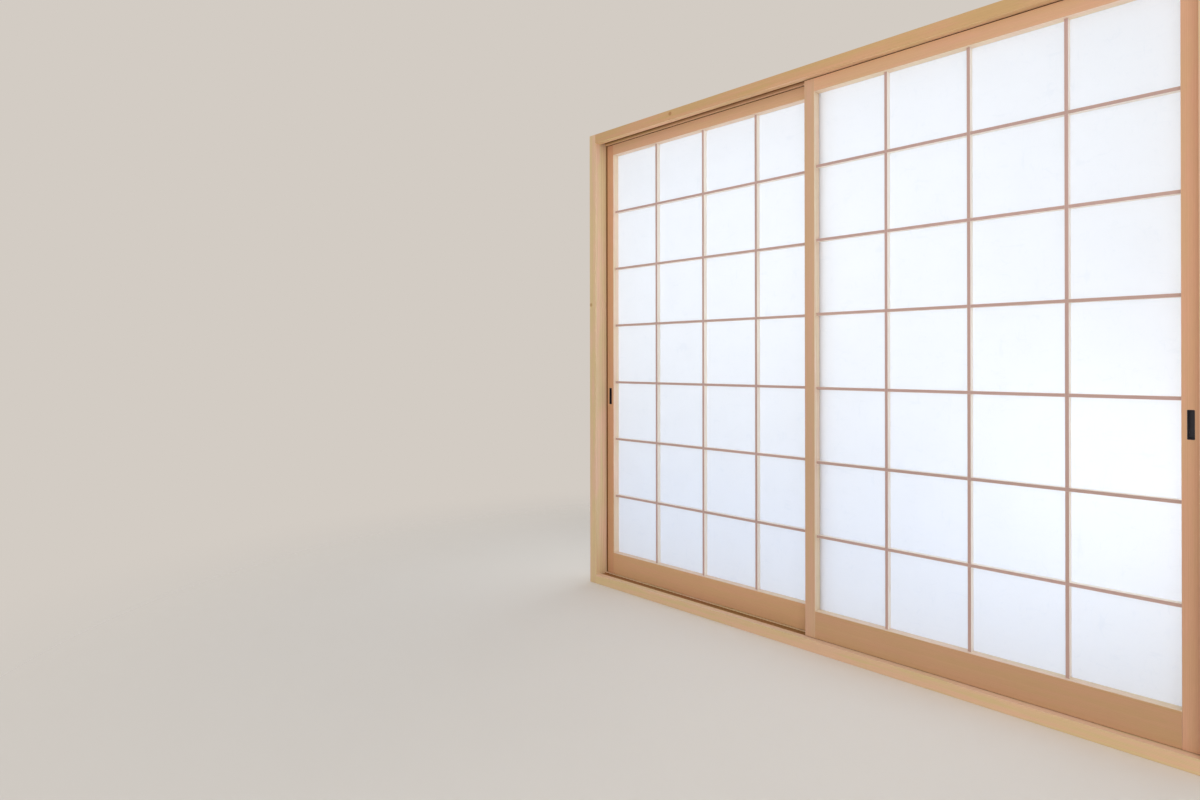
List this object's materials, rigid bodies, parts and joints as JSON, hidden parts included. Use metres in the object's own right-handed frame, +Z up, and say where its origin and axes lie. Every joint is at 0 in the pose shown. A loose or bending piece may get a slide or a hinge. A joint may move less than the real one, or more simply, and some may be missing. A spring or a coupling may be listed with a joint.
{
  "type": "shoji sliding screen",
  "caption": "Wooden shoji sliding screens for a window: paper-backed lattice panels that slide past each other in a grooved frame of head, sill and jambs.",
  "frame": {"origin": "bottom centre of the frame: middle of its width and of its depth, at the underside of the sill", "axes": "+X along the opening, to the right seen from the room; +Y from the room side into the wall; +Z up"},
  "size_m": [1.732, 0.1, 1.574],
  "materials": {
    "frame_wood": "planed softwood, satin",
    "panel_wood": "planed softwood, satin",
    "lattice_wood": "planed softwood, satin",
    "paper": "matte, translucent",
    "pull": "black, satin"
  },
  "bodies": {
    "frame": {"head": "frame_wood", "sill": "frame_wood", "left_jamb": "frame_wood", "right_jamb": "frame_wood"},
    "left_panel": {"left_panel_left_stile": "panel_wood", "left_panel_right_stile": "panel_wood", "left_panel_top_rail": "panel_wood", "left_panel_bottom_rail": "panel_wood", "left_panel_vertical_bar_1": "lattice_wood", "left_panel_vertical_bar_2": "lattice_wood", "left_panel_vertical_bar_3": "lattice_wood", "left_panel_horizontal_bar_1": "lattice_wood", "left_panel_horizontal_bar_2": "lattice_wood", "left_panel_horizontal_bar_3": "lattice_wood", "left_panel_horizontal_bar_4": "lattice_wood", "left_panel_horizontal_bar_5": "lattice_wood", "left_panel_horizontal_bar_6": "lattice_wood", "left_panel_paper": "paper", "left_panel_pull": "pull"},
    "right_panel": {"right_panel_left_stile": "panel_wood", "right_panel_right_stile": "panel_wood", "right_panel_top_rail": "panel_wood", "right_panel_bottom_rail": "panel_wood", "right_panel_vertical_bar_1": "lattice_wood", "right_panel_vertical_bar_2": "lattice_wood", "right_panel_vertical_bar_3": "lattice_wood", "right_panel_horizontal_bar_1": "lattice_wood", "right_panel_horizontal_bar_2": "lattice_wood", "right_panel_horizontal_bar_3": "lattice_wood", "right_panel_horizontal_bar_4": "lattice_wood", "right_panel_horizontal_bar_5": "lattice_wood", "right_panel_horizontal_bar_6": "lattice_wood", "right_panel_paper": "paper", "right_panel_pull": "pull"}
  },
  "joints": [
    {"name": "left_panel_slide", "type": "slide", "parent": "frame", "child": "left_panel", "axis": [1, 0, 0], "range_m": [-0.0055, 0.815]},
    {"name": "right_panel_slide", "type": "slide", "parent": "frame", "child": "right_panel", "axis": [-1, 0, 0], "range_m": [0, 0.8205]}
  ]
}
